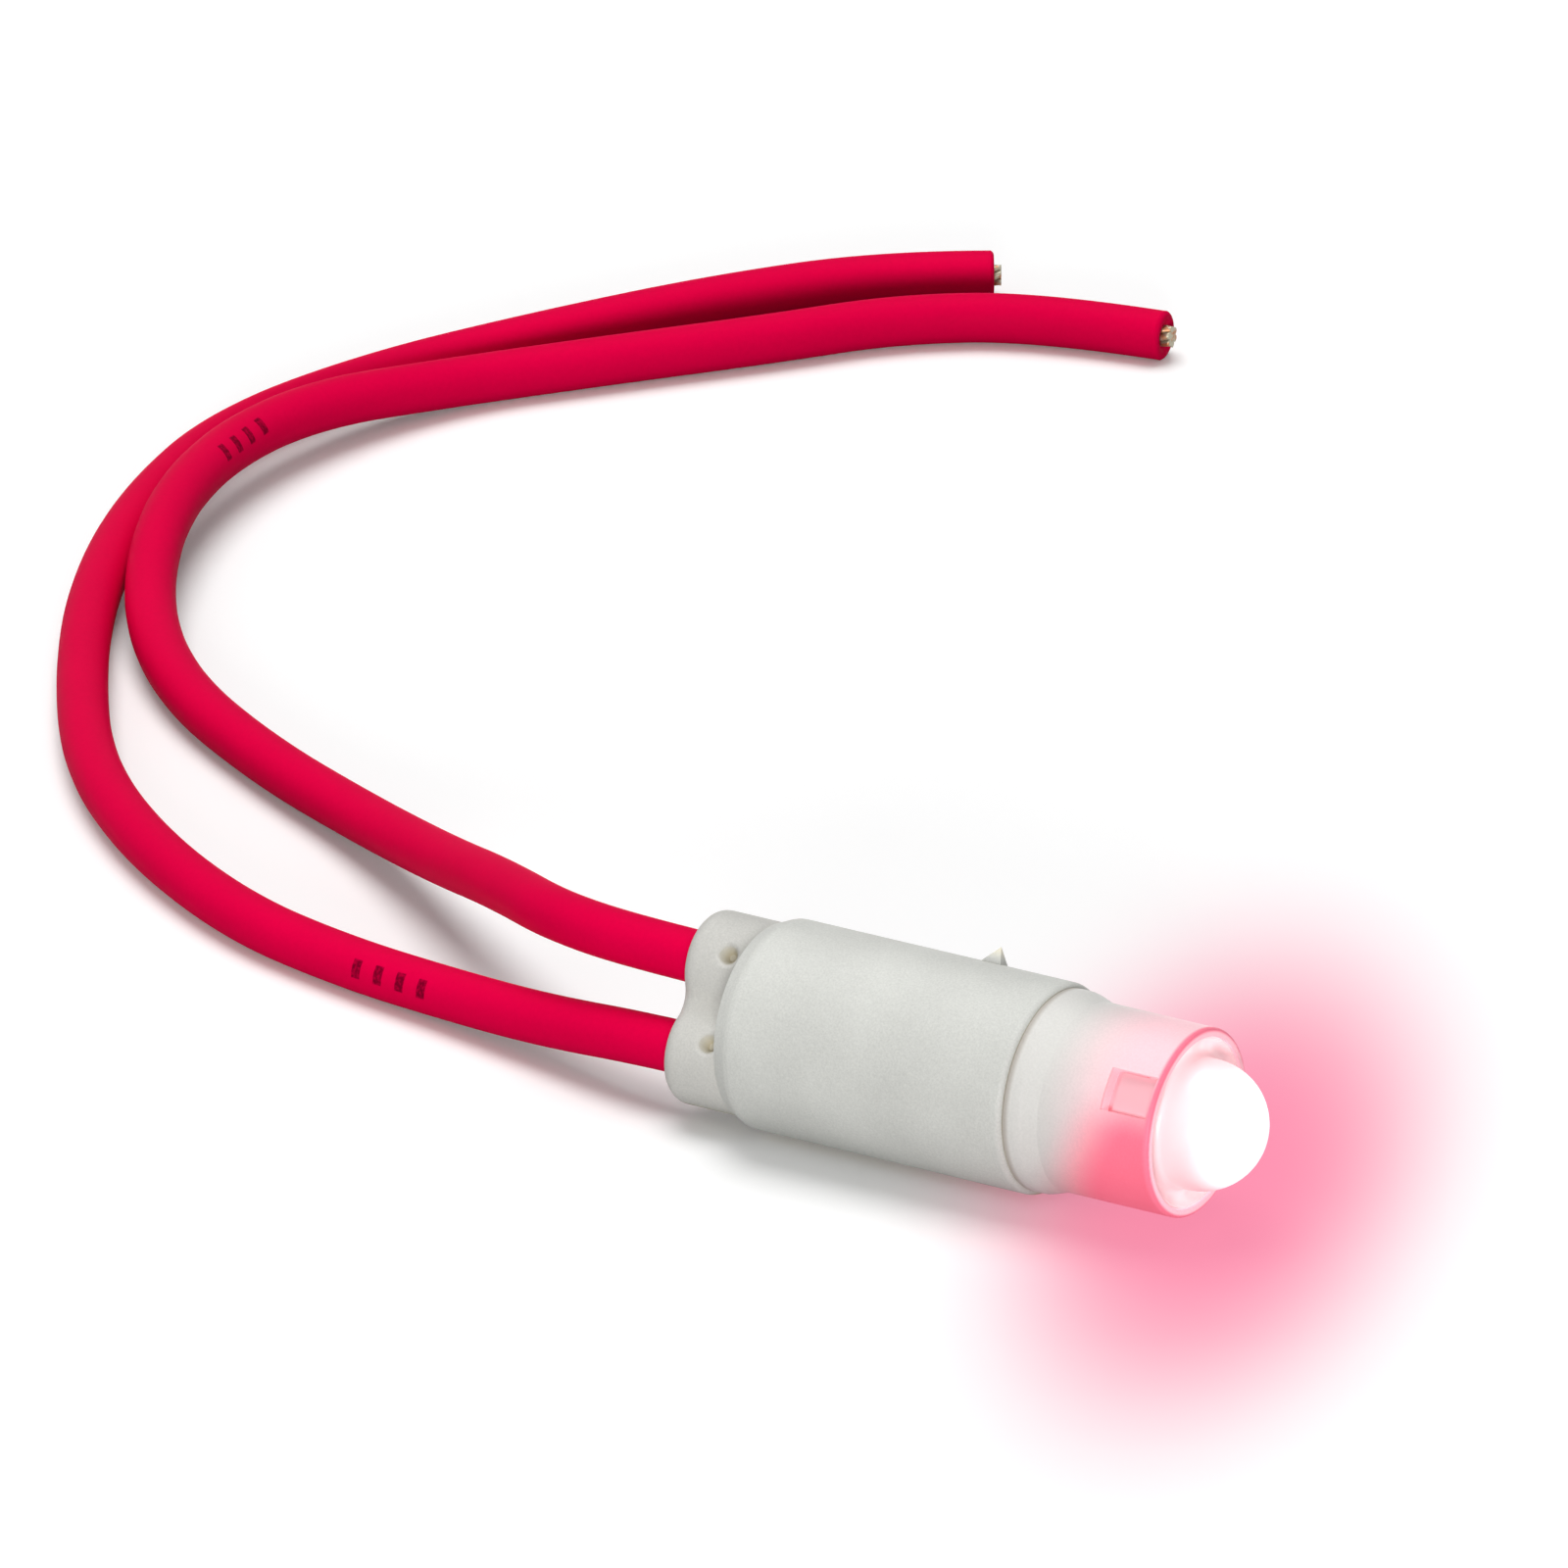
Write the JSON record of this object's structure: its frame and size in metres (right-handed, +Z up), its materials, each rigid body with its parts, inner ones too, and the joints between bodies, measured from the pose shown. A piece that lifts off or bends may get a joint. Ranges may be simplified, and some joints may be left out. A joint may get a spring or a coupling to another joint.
{
  "type": "led indicator lamp",
  "caption": "Small mains indicator lamp: an off-white sleeve with a lit domed lens in a frosted collar and two red leads with bare ends.",
  "frame": {"origin": "under the middle of the lamp as it lies, on the surface that it and its leads rest on; the leads aren't counted", "axes": "+X along the lamp's axis towards its dome, +Z up, the leads lead off towards -X and +Y"},
  "size_m": [0.1064, 0.1148, 0.0115],
  "materials": {
    "housing_plastic": "fine-grained off-white moulded plastic",
    "cap_plastic": "fine-grained off-white moulded plastic",
    "frosted_plastic": "frosted translucent plastic, lit pink towards the front",
    "lens_plastic": "translucent lens, glowing when lit",
    "led_epoxy": "tinted epoxy",
    "led_wire": "tinned steel",
    "led_chip": "semiconductor die",
    "board_laminate": "phenolic paper laminate",
    "resistor_coating": "lacquered ceramic",
    "component_wire": "tinned wire",
    "rectifier_moulding": "moulded epoxy",
    "diode_glass": "glass",
    "solder": "bright solder",
    "lead_pvc": "satin soft PVC",
    "tinned_copper": "tinned copper strand"
  },
  "bodies": {
    "root": {"housing_sleeve": "housing_plastic", "rear_cap": "cap_plastic", "front_collar": "frosted_plastic", "lens_insert": "lens_plastic", "led_body": "led_epoxy", "led_anode_lead": "led_wire", "led_cathode_lead": "led_wire", "led_chip": "led_chip", "circuit_board": "board_laminate", "resistor_body": "resistor_coating", "resistor_leads": "component_wire", "rectifier_body": "rectifier_moulding", "rectifier_leads": "component_wire", "glass_diode_body": "diode_glass", "glass_diode_leads": "component_wire", "solder_joints": "solder", "upper_lead_insulation": "lead_pvc", "lower_lead_insulation": "lead_pvc", "upper_lead_conductor": "tinned_copper", "lower_lead_conductor": "tinned_copper"}
  },
  "joints": []
}
